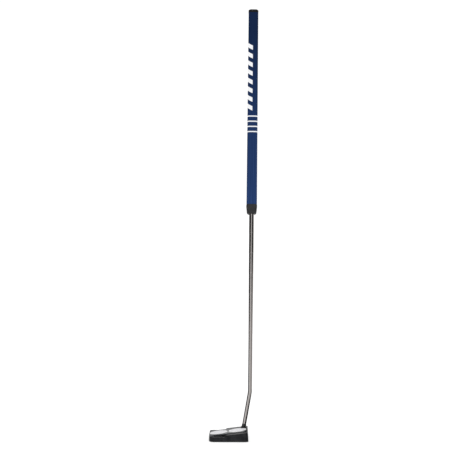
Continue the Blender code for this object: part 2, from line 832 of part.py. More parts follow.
DECK_FRAME = frame(
    "deck_frame",
    (0, 0, DECK_Z),
    (cos(DECK_SLOPE), 0, sin(DECK_SLOPE)),
    (-sin(DECK_SLOPE), 0, cos(DECK_SLOPE)),
)
SIDE_FRAME = frame("side_frame", (0, 0, 0), (1, 0, 0), (0, -1, 0))
FACE_FRAME = frame("face_frame", (LEAD_X, 0, 0), (0, 1, 0), (cos(LOFT), 0, sin(LOFT)))
SHAFT_FRAME = frame(
    "shaft_frame",
    (FOOT_X, FOOT_Y, 0),
    (cos(FORWARD_LEAN), 0, -sin(FORWARD_LEAN)),
    (sin(LIE) * sin(FORWARD_LEAN), cos(LIE), sin(LIE) * cos(FORWARD_LEAN)),
)
PAD_FRAME = frame(
    "pad_frame",
    Vector((0, 0, BEND_AT)) + PAD_AT * Vector((sin(BEND_ANGLE), 0, cos(BEND_ANGLE))),
    (cos(BEND_ANGLE), 0, -sin(BEND_ANGLE)),
    (sin(BEND_ANGLE), 0, cos(BEND_ANGLE)),
    SHAFT_FRAME,
)
bpy.context.view_layer.update()
PAD_XY = PAD_FRAME.matrix_world.translation.xy
PAD_Z = PAD_FRAME.matrix_world.translation.z

make_head_body()
make_deck()
make_face()
make_sole()
make_weights()
make_hosel()
make_shaft()
make_grip()
make_collar()
make_cap()
make_counterweight()
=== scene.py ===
import json
from math import atan2, cos, hypot, pi, radians, sin, sqrt, tan

import bmesh
import bpy
from mathutils import Matrix, Quaternion, Vector


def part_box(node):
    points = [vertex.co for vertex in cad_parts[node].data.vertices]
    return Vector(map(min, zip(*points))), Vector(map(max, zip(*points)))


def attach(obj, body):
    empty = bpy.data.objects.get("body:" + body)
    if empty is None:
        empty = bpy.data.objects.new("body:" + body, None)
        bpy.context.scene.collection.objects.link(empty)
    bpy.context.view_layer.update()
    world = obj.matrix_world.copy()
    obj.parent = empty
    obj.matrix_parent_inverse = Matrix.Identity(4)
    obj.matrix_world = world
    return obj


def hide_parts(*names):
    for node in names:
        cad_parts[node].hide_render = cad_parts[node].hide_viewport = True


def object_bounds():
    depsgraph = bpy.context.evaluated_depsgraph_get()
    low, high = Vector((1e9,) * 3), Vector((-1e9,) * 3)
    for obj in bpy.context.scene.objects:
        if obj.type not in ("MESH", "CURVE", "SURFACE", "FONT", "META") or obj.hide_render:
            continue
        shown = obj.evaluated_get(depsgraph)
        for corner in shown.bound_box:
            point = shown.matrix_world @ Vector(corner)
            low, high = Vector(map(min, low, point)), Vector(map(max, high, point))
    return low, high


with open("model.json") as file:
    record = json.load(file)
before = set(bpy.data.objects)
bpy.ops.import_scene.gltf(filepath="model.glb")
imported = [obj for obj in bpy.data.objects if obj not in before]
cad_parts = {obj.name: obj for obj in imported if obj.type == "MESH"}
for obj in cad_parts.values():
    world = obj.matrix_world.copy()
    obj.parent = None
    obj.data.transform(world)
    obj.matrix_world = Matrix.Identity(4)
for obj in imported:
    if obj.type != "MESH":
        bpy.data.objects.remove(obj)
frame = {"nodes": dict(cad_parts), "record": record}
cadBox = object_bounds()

# Right-handed mallet putter of arm-lock length. +X is the target, -Y the toe, +Z up.
mm = 0.001
gap = 0.3 * mm
mounts = {mount["name"]: mount for mount in frame["record"]["mounts"]}


def hexColour(code):
    # an sRGB hex value as the linear colour that a shader takes
    channels = [int(code[i : i + 2], 16) / 255 for i in (1, 3, 5)]
    return [c / 12.92 if c <= 0.04045 else ((c + 0.055) / 1.055) ** 2.4 for c in channels] + [1]


# Places: each frame is a matrix whose +Z runs along the piece's own axis


def axes(origin, x, z):
    x, z = Vector(x).normalized(), Vector(z).normalized()
    turn = Matrix((x, z.cross(x), z)).transposed().to_4x4()
    return Matrix.Translation(Vector(origin)) @ turn


shaftLine = {
    "bendAt": 112 * mm,
    "bendAngle": radians(9.3),
    "bendRadius": 25 * mm,
    "padAt": -90.05 * mm,
    "tipAt": -80.45 * mm,
}
gripAt = Vector(mounts["grip_hold"]["pos_m"])
shaftUp = -Vector(mounts["grip_hold"]["axis"])
lean = atan2(shaftUp.x, shaftUp.z)
shaftFrame = axes(gripAt - shaftUp * (gripAt.z / shaftUp.z), (cos(lean), 0, -sin(lean)), shaftUp)
shankTurn = Matrix.Rotation(shaftLine["bendAngle"], 4, "Y")
shankFrame = shaftFrame @ Matrix.Translation((0, 0, shaftLine["bendAt"])) @ shankTurn
padFrame = shankFrame @ Matrix.Translation((0, 0, shaftLine["padAt"]))
padAt = padFrame.translation

deckLine = {"height": 18.6 * mm, "slope": radians(6.8)}
deckTurn = Matrix.Rotation(-deckLine["slope"], 4, "Y")
deckFrame = Matrix.Translation((0, 0, deckLine["height"])) @ deckTurn
faceNormal = Vector(mounts["strike_face"]["axis"])
faceFoot = Vector((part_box("head_body")[1].x, 0, 0))
faceFrame = axes(faceFoot, (0, 1, 0), faceNormal)


# Modelling helpers


def only(piece):
    bpy.ops.object.select_all(action="DESELECT")
    piece.select_set(True)
    bpy.context.view_layer.objects.active = piece


def named(name):
    piece = bpy.context.object
    piece.name = piece.data.name = name
    bpy.ops.object.transform_apply(location=True, rotation=True, scale=True)
    return piece


def edit(piece):
    only(piece)
    bpy.ops.object.mode_set(mode="EDIT")


def leave():
    bpy.ops.object.mode_set(mode="OBJECT")


def pick(kind, test):
    # in edit mode, leaves only the elements for which test holds selected
    bpy.ops.mesh.select_mode(type=kind)
    bpy.ops.mesh.select_all(action="DESELECT")
    mesh = bmesh.from_edit_mesh(bpy.context.object.data)
    for element in {"VERT": mesh.verts, "EDGE": mesh.edges, "FACE": mesh.faces}[kind]:
        if test(element):
            element.select_set(True)
    mesh.select_flush_mode()
    bmesh.update_edit_mesh(bpy.context.object.data)


def modify(piece, kind, **settings):
    only(piece)
    modifier = piece.modifiers.new(kind, kind)
    for setting, value in settings.items():
        setattr(modifier, setting, value)
    bpy.ops.object.modifier_apply(modifier=modifier.name)


def cut(piece, *cutters, operation="DIFFERENCE"):
    for cutter in cutters:
        modify(piece, "BOOLEAN", object=cutter, operation=operation, solver="EXACT")
        bpy.data.objects.remove(cutter)


def put(piece, place):
    only(piece)
    piece.matrix_world = place
    bpy.ops.object.transform_apply(location=True, rotation=True, scale=True)
    return piece


def twin(piece, name, place):
    # a copy with its own mesh, at its own place
    only(piece)
    bpy.ops.object.duplicate(linked=False)
    copy = bpy.context.object
    copy.name = copy.data.name = name
    return put(copy, place)


def upright(edge):
    one, two = edge.verts
    return hypot(one.co.x - two.co.x, one.co.y - two.co.y) < 0.01 * mm


def middle(edge):
    return (edge.verts[0].co + edge.verts[1].co) / 2


def roundCorners(corners):
    # in edit mode, rounds upright edges: corners holds a test of an edge's middle, radius, segments
    for test, radius, segments in corners:
        pick("EDGE", lambda edge: upright(edge) and test(middle(edge)))
        bpy.ops.mesh.bevel(offset=radius, segments=segments, affect="EDGES", clamp_overlap=False)


def drawUp(rise, scale, centre):
    # in edit mode, extrudes what is selected up by rise and scales its new end about centre
    bpy.ops.mesh.extrude_region_move(TRANSFORM_OT_translate={"value": (0, 0, rise)})
    bpy.ops.transform.resize(value=scale, center_override=centre)


def addBlock(name, low, high, corners=()):
    low, high = Vector(low), Vector(high)
    bpy.ops.object.select_all(action="DESELECT")
    bpy.ops.mesh.primitive_cube_add(size=1, location=(low + high) / 2, scale=high - low)
    piece = named(name)
    edit(piece)
    roundCorners(corners)
    leave()
    return piece


def addRound(name, radius, low, high, at=(0, 0), sides=64):
    bpy.ops.object.select_all(action="DESELECT")
    bpy.ops.mesh.primitive_cylinder_add(
        vertices=sides, radius=radius, depth=high - low, location=(*at, (low + high) / 2)
    )
    return named(name)


def turned(name, profile, sides=64, ring=False):
    # a circle pulled through stations of (radius, height), then closed at its ends or on itself
    bpy.ops.object.select_all(action="DESELECT")
    radius, height = profile[0]
    bpy.ops.mesh.primitive_circle_add(vertices=sides, radius=radius, location=(0, 0, height))
    piece = named(name)
    edit(piece)
    bpy.ops.mesh.select_mode(type="EDGE")
    bpy.ops.mesh.select_all(action="SELECT")
    for nextRadius, nextHeight in profile[1:]:
        scale = nextRadius / radius
        drawUp(nextHeight - height, (scale, scale, 1), (0, 0, nextHeight))
        radius, height = nextRadius, nextHeight
    pick("EDGE", lambda edge: edge.is_boundary)
    if ring:
        bpy.ops.mesh.bridge_edge_loops()
    else:
        bpy.ops.mesh.fill_holes(sides=0)
    bpy.ops.mesh.select_all(action="SELECT")
    bpy.ops.mesh.normals_make_consistent(inside=False)
    leave()
    return piece


def soften(piece, width, segments=2, angle=32):
    # small rounds on every crease, which catch the light as a moulded or machined edge does
    modify(
        piece,
        "BEVEL",
        width=width,
        segments=segments,
        limit_method="ANGLE",
        angle_limit=radians(angle),
        use_clamp_overlap=True,
        miter_outer="MITER_ARC",
    )


def clean(piece):
    edit(piece)
    bpy.ops.mesh.select_all(action="SELECT")
    bpy.ops.mesh.remove_doubles(threshold=0.005 * mm)
    bpy.ops.mesh.dissolve_limited(angle_limit=radians(0.5))
    leave()


def hand(piece, nodes, material, body="club", sharp=38):
    # shades a finished piece, gives it its material and sets it on its body
    only(piece)
    bpy.ops.object.shade_smooth_by_angle(angle=radians(sharp))
    modify(piece, "WEIGHTED_NORMAL", keep_sharp=True, weight=60)
    piece.data.materials.clear()
    piece.data.materials.append(material)
    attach(piece, body)
    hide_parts(*nodes)
    return piece


# Materials


def addNode(material, kind, settings=None, inputs=None):
    # an input is a fixed value, or the socket that it is linked from
    tree = material.node_tree
    made = tree.nodes.new("ShaderNode" + kind)
    for name, value in (settings or {}).items():
        setattr(made, name, value)
    for socket, value in (inputs or {}).items():
        if isinstance(value, bpy.types.NodeSocket):
            tree.links.new(value, made.inputs[socket])
        else:
            made.inputs[socket].default_value = value
    return made


def makeMaterial(name, look, place=None):
    # Each finish has two close tones in soft clouds, and a grain that gives bump and dull spots.
    # A look holds its tones, the cloud's and grain's size along x, y and z in mm, the roughness
    # from polished to dull spots, the grain's depth in mm, and what else the shader is set to.
    material = bpy.data.materials.new(name)
    material.use_nodes = True
    links = material.node_tree.links
    shader = material.node_tree.nodes["Principled BSDF"]
    place = place or Matrix.Identity(4)
    coords = addNode(material, "TexCoord")
    turn = {
        "Location": place.translation,
        "Rotation": place.to_euler(),
        "Vector": coords.outputs["Object"],
    }
    placed = addNode(material, "Mapping", {"name": "placed", "vector_type": "TEXTURE"}, turn)
    noises = []
    for sizes, detail in ((look["grain"], 2), (look["cloud"], 3)):
        cells = {0: placed.outputs["Vector"], 1: [1 / (size * mm) for size in sizes]}
        scaled = addNode(material, "VectorMath", {"operation": "MULTIPLY"}, cells).outputs[0]
        fine = {"Vector": scaled, "Scale": 1, "Detail": detail, "Roughness": 0.55}
        noises.append(addNode(material, "TexNoise", None, fine).outputs["Fac"])
    grain, cloud = noises
    # a noise keeps near its middle, so that range is stretched to the whole
    spread = {"Value": cloud, "From Min": 0.35, "From Max": 0.65}
    share = addNode(material, "MapRange", None, spread).outputs["Result"]
    one, two = (hexColour(tone) for tone in look["tones"])
    mixed = {0: share, 6: one, 7: two}
    colour = addNode(material, "Mix", {"name": "tones", "data_type": "RGBA"}, mixed)
    low, high = look["rough"]
    spread = {"Value": grain, "From Min": 0.3, "From Max": 0.7, "To Min": low, "To Max": high}
    dull = addNode(material, "MapRange", None, spread).outputs["Result"]
    relief = {"Height": grain, "Strength": 0.5, "Distance": look["depth"] * mm}
    bump = addNode(material, "Bump", {"name": "relief"}, relief)
    links.new(colour.outputs[2], shader.inputs["Base Color"])
    links.new(dull, shader.inputs["Roughness"])
    links.new(bump.outputs["Normal"], shader.inputs["Normal"])
    for socket, value in look.get("sockets", {}).items():
        shader.inputs[socket].default_value = value
    return material


# Bead-blasted, black anodised aluminium: dark, with a soft wide shine and a fine blasted grain.
# The real grain is about 0.1 mm, drawn at 0.5 mm so that it shows.
blackAnodised = {
    "tones": ("#1a1b1d", "#2a2b2d"),
    "cloud": (9, 9, 9),
    "grain": (0.5, 0.5, 0.5),
    "rough": (0.36, 0.5),
    "depth": 0.02,
    "sockets": {"Metallic": 0.85},
}
# Grey anodised aluminium, brushed heel to toe: a satin sheen stretched across the fine lines.
greyAnodised = {
    "tones": ("#46484b", "#585a5d"),
    "cloud": (1.4, 40, 1.4),
    "grain": (0.35, 9, 0.35),
    "rough": (0.28, 0.44),
    "depth": 0.012,
    "sockets": {"Metallic": 0.9},
}
# Moulded white ABS of the discs: an even cool white toned down to light grey as painted shade, with
# a broad soft highlight.
whiteAbs = {
    "tones": ("#d6d6d9", "#d0d0d3"),
    "cloud": (12, 12, 12),
    "grain": (1.6, 1.6, 1.6),
    "rough": (0.34, 0.44),
    "depth": 0.006,
    "sockets": {"Specular IOR Level": 0.25},
}
# Brighter white on the discs' moulded rims, a painted highlight: a step brighter and smoother than
# the rest of the disc.
rimHighlight = {
    "tones": ("#f2f2f1", "#ececeb"),
    "cloud": (6, 6, 6),
    "grain": (0.8, 0.8, 0.8),
    "rough": (0.24, 0.34),
    "depth": 0.008,
}
# Cast urethane elastomer: pale grey, matt, faintly mottled and a little soft to the light.
castUrethane = {
    "tones": ("#b9bbbb", "#a9abac"),
    "cloud": (5, 5, 5),
    "grain": (0.6, 0.6, 0.6),
    "rough": (0.45, 0.6),
    "depth": 0.015,
}
# Die-cut foam tape: charcoal, open cells, no shine.
foamTape = {
    "tones": ("#232323", "#2c2c2c"),
    "cloud": (3, 3, 3),
    "grain": (0.7, 0.7, 0.7),
    "rough": (0.85, 0.95),
    "depth": 0.12,
}
# Brushed stainless steel: bright, with long fine lines heel to toe.
brushedStainless = {
    "tones": ("#c4c5c6", "#adaeb0"),
    "cloud": (1.2, 50, 1.2),
    "grain": (0.3, 14, 0.3),
    "rough": (0.22, 0.38),
    "depth": 0.012,
    "sockets": {"Metallic": 1},
}
# Black-oxide steel of the small screws: near black, oily satin.
blackOxide = {
    "tones": ("#3a3a3c", "#454548"),
    "cloud": (2, 2, 2),
    "grain": (0.4, 0.4, 0.4),
    "rough": (0.3, 0.42),
    "depth": 0.01,
    "sockets": {"Metallic": 1},
}
# Turned steel of the weights: fine lathe rings round each axis under a clean satin shine.
turnedSteel = {
    "tones": ("#a9aaac", "#98999b"),
    "cloud": (4, 4, 4),
    "grain": (0.5, 0.5, 0.5),
    "rough": (0.2, 0.3),
    "depth": 0.006,
    "sockets": {"Metallic": 1},
}
# Nitrile rubber of the rings: black, soft dull sheen.
nitrile = {
    "tones": ("#151515", "#1b1b1b"),
    "cloud": (3, 3, 3),
    "grain": (0.4, 0.4, 0.4),
    "rough": (0.5, 0.62),
    "depth": 0.015,
}
# Ground steel of the hosel post, hidden inside the shaft's tip.
groundSteel = {
    "tones": ("#9c9d9f", "#8e8f91"),
    "cloud": (5, 5, 5),
    "grain": (0.3, 0.3, 6),
    "rough": (0.28, 0.38),
    "depth": 0.01,
    "sockets": {"Metallic": 1},
}
# Moulded acetate ferrule: black, polished to a sharp gloss.
blackAcetate = {
    "tones": ("#0d0d0e", "#131314"),
    "cloud": (4, 4, 4),
    "grain": (1.2, 1.2, 1.2),
    "rough": (0.14, 0.22),
    "depth": 0.004,
}
# Nickel-chrome plate on steel tube: a near mirror with faint lengthwise polish marks. Its warm
# white is toned down to a mid grey as painted shade, standing in for darker surroundings in its
# reflection.
chromePlate = {
    "tones": ("#a5a09e", "#9d9997"),
    "cloud": (40, 40, 40),
    "grain": (0.6, 0.6, 45),
    "rough": (0.07, 0.13),
    "depth": 0.004,
    "sockets": {"Metallic": 1},
}
# Double-sided grip tape: cream crepe paper, matt and wrinkled across.
crepeTape = {
    "tones": ("#d8c9a0", "#cbb98c"),
    "cloud": (8, 8, 8),
    "grain": (1.2, 1.2, 0.8),
    "rough": (0.75, 0.85),
    "depth": 0.05,
}
# Foamed EVA under the grip's skin: charcoal with fine closed cells.
evaFoam = {
    "tones": ("#2a2a2b", "#333334"),
    "cloud": (5, 5, 5),
    "grain": (0.8, 0.8, 0.8),
    "rough": (0.85, 0.95),
    "depth": 0.1,
}
# Moulded polyurethane skin: navy, matt and tacky, with faint streaks up its length.
navyPolyurethane = {
    "tones": ("#1a325c", "#263e6c"),
    "cloud": (3, 3, 150),
    "grain": (0.9, 0.9, 26),
    "rough": (0.52, 0.66),
    "depth": 0.03,
    "sockets": {"Specular IOR Level": 0.06},
}
# Moulded rubber collar: charcoal, matt, the fine grain of a spark-eroded mould.
mouldedRubber = {
    "tones": ("#252628", "#2b2c2e"),
    "cloud": (9, 9, 9),
    "grain": (0.6, 0.6, 0.6),
    "rough": (0.5, 0.64),
    "depth": 0.03,
    "sockets": {"Specular IOR Level": 0.25},
}
# Polished black ABS cap: deep black with a sharp gloss.
glossAbs = {
    "tones": ("#0c0c0d", "#111112"),
    "cloud": (8, 8, 8),
    "grain": (2, 2, 2),
    "rough": (0.1, 0.18),
    "depth": 0.004,
    "sockets": {"Specular IOR Level": 0.15},
}
# Glass-filled nylon of the threaded insert: dark grey with a faint fibre mottle.
filledNylon = {
    "tones": ("#38383a", "#414143"),
    "cloud": (4, 4, 4),
    "grain": (0.5, 0.5, 0.5),
    "rough": (0.5, 0.6),
    "depth": 0.02,
}

print("materials")
headBlack = makeMaterial("blackAnodisedAluminium", blackAnodised)
deckGrey = makeMaterial("greyAnodisedAluminium", greyAnodised, deckFrame)
discWhite = makeMaterial("whiteMouldedAbs", whiteAbs)
rimHighlightWhite = makeMaterial("whiteRimPaintedHighlight", rimHighlight)
insertGrey = makeMaterial("greyCastUrethane", castUrethane)
foam = makeMaterial("charcoalFoamTape", foamTape)
stainless = makeMaterial("brushedStainlessSteel", brushedStainless)
oxide = makeMaterial("blackOxideSteel", blackOxide)
rubber = makeMaterial("blackNitrileRubber", nitrile)
postSteel = makeMaterial("groundSteel", groundSteel, padFrame)
acetate = makeMaterial("polishedBlackAcetate", blackAcetate)
chrome = makeMaterial("chromePlatedSteel", chromePlate, shaftFrame)
crepe = makeMaterial("creamCrepeTape", crepeTape, shaftFrame)
eva = makeMaterial("charcoalEvaFoam", evaFoam)
collarRubber = makeMaterial("charcoalMouldedRubber", mouldedRubber, shaftFrame)
capAbs = makeMaterial("polishedBlackAbs", glossAbs, shaftFrame)
nylon = makeMaterial("greyFilledNylon", filledNylon)

# Feed lines of a lathe are 0.1 mm apart, drawn wider so that they show.
lathe = {"pitch": 0.6 * mm, "strength": 0.35, "depth": 0.01 * mm}


def latheSteel(name, place):
    material = makeMaterial(name, turnedSteel, place)
    nodes, links = material.node_tree.nodes, material.node_tree.links
    # a wave texture's own period is pi / 10 of its scale
    wave = {
        "Vector": nodes["placed"].outputs["Vector"],
        "Scale": pi / 10 / lathe["pitch"],
        "Distortion": 0.2,
    }
    rings = addNode(material, "TexWave", {"wave_type": "RINGS", "rings_direction": "Z"}, wave)
    relief = {
        "Height": rings.outputs["Fac"],
        "Normal": nodes["relief"].outputs["Normal"],
        "Strength": lathe["strength"],
        "Distance": lathe["depth"],
    }
    bump = addNode(material, "Bump", None, relief)
    links.new(bump.outputs["Normal"], nodes["Principled BSDF"].inputs["Normal"])
    return material


gripLook = {
    # painted shade: the navy is darker towards the cap
    "shadedTopTone": "#0c2041",  # nearer the cap the navy goes darker
    "fadeFrom": 590 * mm,
    "fadeTo": 1010 * mm,
    "white": "#e9eaec",
    "bars": (814 * mm, 982 * mm),
    "barPitch": 22 * mm,
    "barShare": 0.5,
    "barHalfWidth": 8 * mm,
    "frontDepth": -10.5 * mm,  # the bars stop where the grip turns away from the front
    "slant": 0.7,
    "bands": (749 * mm, 799 * mm),
    "bandPitch": 13 * mm,
    "bandShare": 0.22,
}


def gripMaterial():
    # navy polyurethane, darker towards the cap as painted shade, with a plain printed pattern of
    # slanted bars and thin bands
    material = makeMaterial("navyMouldedPolyurethane", navyPolyurethane, shaftFrame)
    nodes, links = material.node_tree.nodes, material.node_tree.links
    split = addNode(material, "SeparateXYZ", None, {0: nodes["placed"].outputs["Vector"]})
    at = {"x": split.outputs["X"], "y": split.outputs["Y"], "up": split.outputs["Z"]}
    # across starts at the near left corner: one way is the flat front, the other the left side
    for name, operation, one, two in (
        ("fromCorner", "SUBTRACT", "x", "y"),
        ("across", "MULTIPLY", "fromCorner", sqrt(0.5)),
        ("aside", "ABSOLUTE", "across", 0.0),
        ("inWidth", "LESS_THAN", "aside", gripLook["barHalfWidth"]),
        ("depth", "ADD", "x", "y"),
        ("nearSide", "LESS_THAN", "depth", gripLook["frontDepth"]),
        ("rise", "MULTIPLY", "across", gripLook["slant"]),
        ("slanted", "ADD", "up", "rise"),
        ("barCount", "DIVIDE", "slanted", gripLook["barPitch"]),
        ("barPhase", "FRACT", "barCount", 0.0),
        ("stripe", "LESS_THAN", "barPhase", gripLook["barShare"]),
        ("aboveBars", "GREATER_THAN", "slanted", gripLook["bars"][0]),
        ("belowBars", "LESS_THAN", "slanted", gripLook["bars"][1]),
        ("barRange", "MULTIPLY", "aboveBars", "belowBars"),
        ("barPatch", "MULTIPLY", "inWidth", "nearSide"),
        ("barArea", "MULTIPLY", "barRange", "barPatch"),
        ("bars", "MULTIPLY", "barArea", "stripe"),
        ("bandCount", "DIVIDE", "up", gripLook["bandPitch"]),
        ("bandPhase", "FRACT", "bandCount", 0.0),
        ("line", "LESS_THAN", "bandPhase", gripLook["bandShare"]),
        ("aboveBands", "GREATER_THAN", "up", gripLook["bands"][0]),
        ("belowBands", "LESS_THAN", "up", gripLook["bands"][1]),
        ("bandRange", "MULTIPLY", "aboveBands", "belowBands"),
        ("bands", "MULTIPLY", "bandRange", "line"),
        ("inWhite", "MAXIMUM", "bars", "bands"),
    ):
        pair = {0: at.get(one, one), 1: at.get(two, two)}
        at[name] = addNode(material, "Math", {"operation": operation}, pair).outputs[0]
    # painted shade: between fadeFrom and fadeTo the navy darkens towards the cap's darker tone
    fade = {"Value": at["up"], "From Min": gripLook["fadeFrom"], "From Max": gripLook["fadeTo"]}
    capShadeShare = addNode(material, "MapRange", None, fade).outputs["Result"]
    top = {0: capShadeShare, 6: nodes["tones"].outputs[2], 7: hexColour(gripLook["shadedTopTone"])}
    shadedNavy = addNode(material, "Mix", {"data_type": "RGBA"}, top).outputs[2]
    printed = {0: at["inWhite"], 6: shadedNavy, 7: hexColour(gripLook["white"])}
    colour = addNode(material, "Mix", {"data_type": "RGBA"}, printed).outputs[2]
    links.new(colour, nodes["Principled BSDF"].inputs["Base Color"])
    return material


navy = gripMaterial()

# Camera, light and floor

cameraLook = {
    "aim": (2.4 * mm, 200 * mm, 479.1 * mm),
    "azimuth": radians(0.036),
    "elevation": radians(7.5),
    "roll": 0.002,
    "distance": 9.0,
    "lens": 288.85,
    "sensor": 36,
    "farthest": 100,
}


def addCamera():
    azimuth, elevation = cameraLook["azimuth"], cameraLook["elevation"]
    back = Vector((sin(azimuth) * cos(elevation), -cos(azimuth) * cos(elevation), sin(elevation)))
    bpy.ops.object.camera_add(location=Vector(cameraLook["aim"]) + back * cameraLook["distance"])
    camera = bpy.context.object
    camera.name = "studioCamera"
    camera.rotation_mode = "QUATERNION"
    roll = Quaternion((0, 0, 1), cameraLook["roll"])
    camera.rotation_quaternion = (-back).to_track_quat("-Z", "Y") @ roll
    camera.data.lens = cameraLook["lens"]
    camera.data.sensor_width = cameraLook["sensor"]
    camera.data.clip_end = cameraLook["farthest"]
    bpy.context.scene.camera = camera


studio = {
    "sky": 1.0,
    "floor": "#a8a8a8",
    "glow": 0.66,
    "floorSize": 80,
    "floorDrop": 0.2 * mm,
    "lightsAt": (0, 0.2, 0.45),
    "cardThickness": 4 * mm,
}
lights = {
    "keyLight": {"at": (-2.2, -2.6, 2.6), "size": (1.6, 2.4), "power": 12},
    "topLight": {"at": (0.4, 0.6, 3.2), "size": (2.4, 1.6), "power": 14},
}
# Paper cards beside the shaft, seen only in reflections, give the chrome its dark bands.
cards = {
    "leftCard": {"x": -0.5, "y": (-0.3, 3.4), "z": (-0.1, 1.7), "tone": "#2a2829"},
    "leftFrontCard": {"x": -0.5, "y": (-0.85, -0.3), "z": (0.8, 2.3), "tone": "#2a2829"},
    "rightCard": {"x": 0.5, "y": (-0.3, 0.25), "z": (0.5, 1.7), "tone": "#2c2c2d"},
    "rightFrontCard": {"x": 0.5, "y": (-0.85, -0.3), "z": (0.8, 2.3), "tone": "#2c2c2d"},
    "rightLowCard": {"x": 0.5, "y": (-0.3, 1.6), "z": (0.1, 0.5), "tone": "#bcb8b6"},
    "shankCard": {"x": 0.13, "y": (-0.16, 0.4), "z": (0.001, 0.1), "tone": "#3a3839"},
}


def addLights():
    for name, light in lights.items():
        place = Vector(light["at"])
        turn = (Vector(studio["lightsAt"]) - place).to_track_quat("-Z", "Y").to_euler()
        bpy.ops.object.light_add(type="AREA", location=place, rotation=turn)
        lamp = bpy.context.object
        lamp.name = name
        lamp.data.shape = "RECTANGLE"
        lamp.data.size, lamp.data.size_y = light["size"]
        lamp.data.energy = light["power"]
    world = bpy.data.worlds.new("studio")
    world.use_nodes = True
    world.node_tree.nodes["Background"].inputs["Color"].default_value = (1, 1, 1, 1)
    world.node_tree.nodes["Background"].inputs["Strength"].default_value = studio["sky"]
    bpy.context.scene.world = world
    bpy.context.scene.view_settings.view_transform = "Standard"


def addCards():
    half = studio["cardThickness"] / 2
    for name, card in cards.items():
        spans = ((card["x"] - half, card["x"] + half), card["y"], card["z"])
        piece = addBlock(name, *zip(*spans))
        material = bpy.data.materials.new(name + "Paper")
        material.use_nodes = True
        shader = material.node_tree.nodes["Principled BSDF"]
        shader.inputs["Base Color"].default_value = hexColour(card["tone"])
        shader.inputs["Roughness"].default_value = 1
        shader.inputs["Specular IOR Level"].default_value = 0
        piece.data.materials.append(material)
        for ray in ("camera", "diffuse", "transmission", "volume_scatter", "shadow"):
            setattr(piece, "visible_" + ray, False)


def addFloor():
    bpy.ops.object.select_all(action="DESELECT")
    bpy.ops.mesh.primitive_plane_add(
        size=studio["floorSize"], location=(0, 0, cadBox[0].z - studio["floorDrop"])
    )
    floor = named("paleFloor")
    material = bpy.data.materials.new("palePaper")
    material.use_nodes = True
    shader = material.node_tree.nodes["Principled BSDF"]
    shader.inputs["Base Color"].default_value = hexColour(studio["floor"])
    shader.inputs["Roughness"].default_value = 0.9
    shader.inputs["Specular IOR Level"].default_value = 0.1
    # a light table: most of its white is its own glow, so shadows stay faint and the sole is lit
    shader.inputs["Emission Color"].default_value = (1, 1, 1, 1)
    shader.inputs["Emission Strength"].default_value = studio["glow"]
    # seen from below it is clear, so that the sole can be looked at
    below = addNode(material, "NewGeometry").outputs["Backfacing"]
    clear = addNode(material, "BsdfTransparent").outputs[0]
    mixed = addNode(material, "MixShader", None, {0: below, 1: shader.outputs[0], 2: clear})
    output = material.node_tree.nodes["Material Output"]
    material.node_tree.links.new(mixed.outputs[0], output.inputs["Surface"])
    floor.data.materials.append(material)


print("camera, light and floor")
addCamera()
addLights()
addCards()
addFloor()

# Head

head = {
    "frontX": 47.75 * mm,
    "rearX": -46.75 * mm,
    "width": 97 * mm,
    "blankTopZ": 34 * mm,
    "soleZ": 0.4 * mm,
    "frontCorner": 9 * mm,
    "rearCorner": 13 * mm,
    "soleRound": 1.5 * mm,
    "shoulderDrop": 1.2 * mm,
    "shoulderRearX": -4 * mm,
    "flangeFrontX": -10 * mm,
    "flangeZ": 12.4 * mm,
    "crown": 1.7 * mm,
    "coreHalfWidth": 28 * mm,
    "flangeInnerY": 41.8 * mm,
    "pocketFrontX": -9 * mm,
    "pocketFloorZ": 5.5 * mm,
    "pocketRound": 4 * mm,
    "coreRearX": -45 * mm,
    "taperX": -36 * mm,
    "taper": 0.6,
    "taperRound": 1.5 * mm,
    "cavity": {"rearX": -26 * mm, "frontX": 34 * mm, "halfWidth": 13 * mm, "floorZ": 4.5 * mm},
    "tipRound": 2 * mm,
    "edge": 0.28 * mm,
}
deck = {
    "thickness": 3 * mm,
    "frontX": 43.4 * mm,
    "rearX": -46.7 * mm,
    "halfWidth": 30 * mm,
    "frontCorner": 7 * mm,
    "rearCorner": 13 * mm,
    "bow": 2 * mm,
    "bowRound": 12 * mm,
    "groove": 1.2 * mm,
    "edge": 0.35 * mm,
}
disc = {
    "radius": 21.335 * mm,
    "depth": 2.2 * mm,
    "dome": 0.2 * mm,
    "rim": 1.9 * mm,
    "places": {"front": 21.1 * mm, "rear": -23.7 * mm},
}
hosel = {
    "padRadius": 6.4 * mm,
    "bossRadius": 6.1 * mm,
    "bossHeight": 2.4 * mm,
    "bossSpan": (-6 * mm, 8 * mm),
    "postRadius": 4.4 * mm,
    "boreDepth": 13.3 * mm,
}
face = {
    "halfLength": 34 * mm,
    "low": 4.5 * mm,
    "high": 16.5 * mm,
    "thickness": 2.6 * mm,
    "pocket": 3.7 * mm,
    "grooves": 7,
    "groovePitch": 1.4 * mm,
    "grooveWidth": 0.5 * mm,
    "grooveDepth": 0.3 * mm,
    "grooveInset": 2.2 * mm,
    "grooveTaper": 0.35,
    "edge": 0.12 * mm,
}
sole = {
    "frontX": 16 * mm,
    "rearX": -38 * mm,
    "halfWidth": 25 * mm,
    "thickness": 1.8 * mm,
    "corner": 7 * mm,
    "screwInset": 6 * mm,
    "edge": 0.3 * mm,
}
screw = {
    "head": 2.8 * mm,
    "shank": 1.25 * mm,
    "length": 7 * mm,
    "drive": 1.25 * mm,
    "driveDepth": 1.3 * mm,
    "turn": 0.4,  # each screw stops this much further round than the last
}
weight = {
    "x": 27 * mm,
    "y": 39 * mm,
    "head": 7 * mm,
    "headDepth": 1.9 * mm,
    "shank": 4.9 * mm,
    "topZ": 10 * mm,
    "ring": 0.6 * mm,
    "ringCentre": 5.95 * mm,
    "drive": 2.3 * mm,
    "driveDepth": 3 * mm,
}
